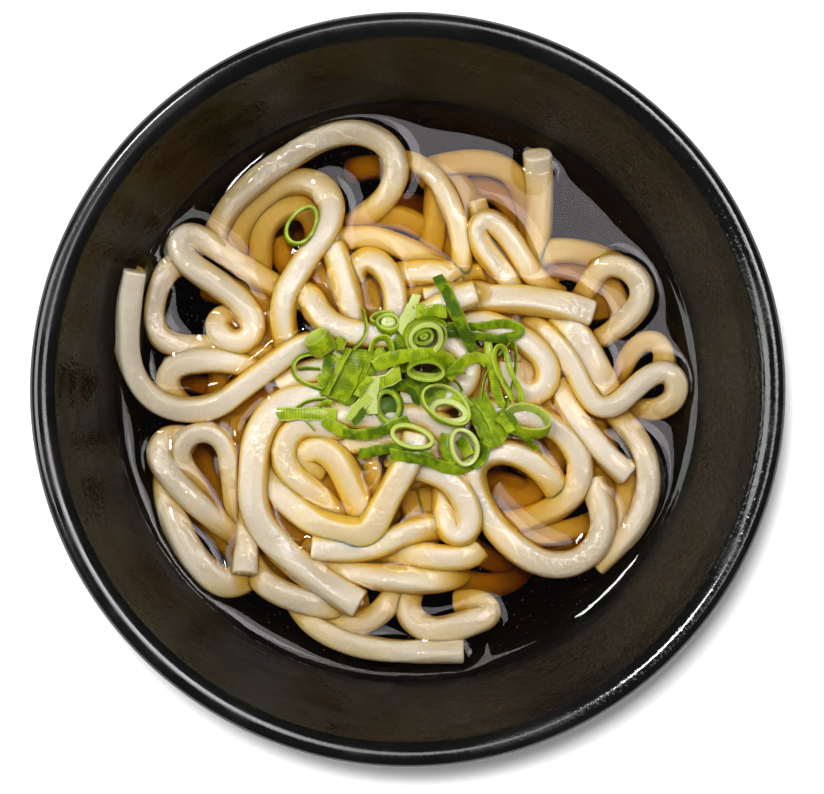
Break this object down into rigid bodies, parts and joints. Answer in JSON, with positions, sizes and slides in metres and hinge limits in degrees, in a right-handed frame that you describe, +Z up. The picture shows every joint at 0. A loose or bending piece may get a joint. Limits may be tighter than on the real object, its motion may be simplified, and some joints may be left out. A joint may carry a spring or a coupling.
{
  "type": "udon noodle bowl",
  "caption": "Black round bowl on a foot ring, filled with thick wheat noodles in a clear brown broth, with sliced green onion heaped in the middle.",
  "frame": {"origin": "middle of the foot ring's underside, where the bowl stands", "axes": "+Z up along the bowl's axis; +Y to the top of the view from above; the bowl is round, and the noodles lie as shown with -Y nearest"},
  "size_m": [0.2, 0.2, 0.075],
  "materials": {
    "black_melamine": "semi-gloss with a faint moulded grain",
    "udon_noodle": "wet, smooth, slightly translucent boiled wheat dough",
    "soy_broth": "clear brown liquid",
    "green_onion": "fresh leaf, satin, finely ribbed"
  },
  "bodies": {
    "root": {"bowl": "black_melamine", "noodle_heap": "udon_noodle", "broth": "soy_broth", "green_onion_heap": "green_onion"}
  },
  "joints": []
}
